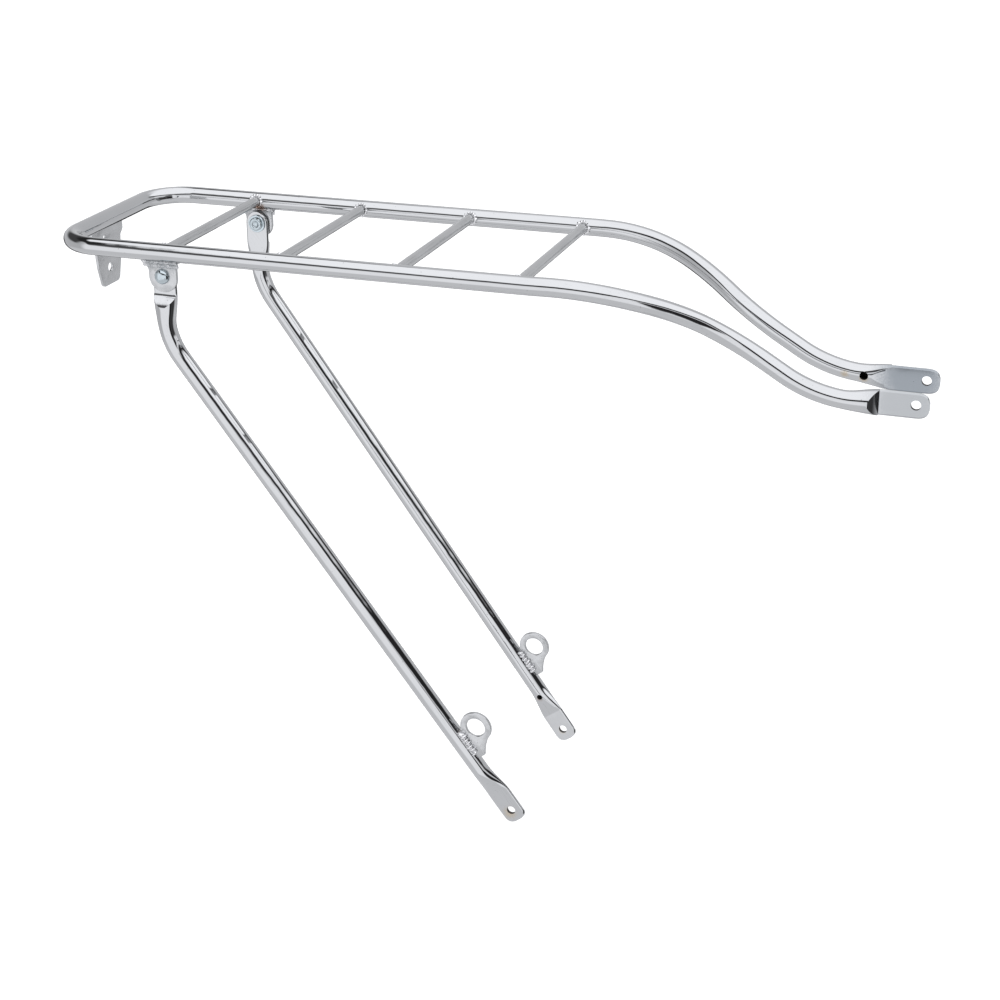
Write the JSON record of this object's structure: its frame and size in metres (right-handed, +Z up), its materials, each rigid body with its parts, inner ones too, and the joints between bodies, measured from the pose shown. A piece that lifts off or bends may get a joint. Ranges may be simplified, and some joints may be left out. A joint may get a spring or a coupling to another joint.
{
  "type": "bicycle rear rack",
  "caption": "Tubular chromed rear carrier with cross rods, a light bracket, front bolt tabs and two riveted swinging legs with ring eyelets.",
  "frame": {"origin": "midway between the two front bolt holes, where the rack is bolted to the bicycle", "axes": "+X forward along the bicycle, +Y to its left, +Z up; the platform is level"},
  "size_m": [0.5876, 0.1578, 0.4062],
  "materials": {
    "polished_chrome": "bright polished chrome plate on bent steel tube",
    "polished_chrome_rod": "chrome plate on drawn rod, fine lines along its length",
    "satin_chrome_plate": "chrome over sheared sheet steel, slightly satin",
    "plated_weld": "chrome over rippled weld metal, uneven",
    "zinc_rivet": "bluish bright zinc plate"
  },
  "bodies": {
    "carrier": {"carrier_tube": "polished_chrome", "cross_rod_1": "polished_chrome_rod", "cross_rod_2": "polished_chrome_rod", "cross_rod_3": "polished_chrome_rod", "cross_rod_4": "polished_chrome_rod", "rod_1_weld_left": "plated_weld", "rod_1_weld_right": "plated_weld", "rod_2_weld_left": "plated_weld", "rod_2_weld_right": "plated_weld", "rod_3_weld_left": "plated_weld", "rod_3_weld_right": "plated_weld", "rod_4_weld_left": "plated_weld", "rod_4_weld_right": "plated_weld", "light_bracket": "satin_chrome_plate", "bracket_weld_left": "plated_weld", "bracket_weld_right": "plated_weld", "pivot_lug_left": "satin_chrome_plate", "lug_weld_outer_left": "plated_weld", "lug_weld_inner_left": "plated_weld", "pivot_rivet_left": "zinc_rivet", "rivet_washer_left": "zinc_rivet", "pivot_lug_right": "satin_chrome_plate", "lug_weld_outer_right": "plated_weld", "lug_weld_inner_right": "plated_weld", "pivot_rivet_right": "zinc_rivet", "rivet_washer_right": "zinc_rivet"},
    "left_leg": {"leg_left": "polished_chrome", "ring_eyelet_left": "satin_chrome_plate", "eyelet_weld_outer_left": "plated_weld", "eyelet_weld_inner_left": "plated_weld"},
    "right_leg": {"leg_right": "polished_chrome", "ring_eyelet_right": "satin_chrome_plate", "eyelet_weld_outer_right": "plated_weld", "eyelet_weld_inner_right": "plated_weld"}
  },
  "joints": [
    {"name": "left_leg_hinge", "type": "hinge", "parent": "carrier", "child": "left_leg", "pos_m": [-0.4932, 0.0729, 0.0529], "axis": [0, -1, 0], "range_deg": [-70, 54]},
    {"name": "right_leg_hinge", "type": "hinge", "parent": "carrier", "child": "right_leg", "pos_m": [-0.4932, -0.0729, 0.0529], "axis": [0, -1, 0], "range_deg": [-70, 54]}
  ]
}
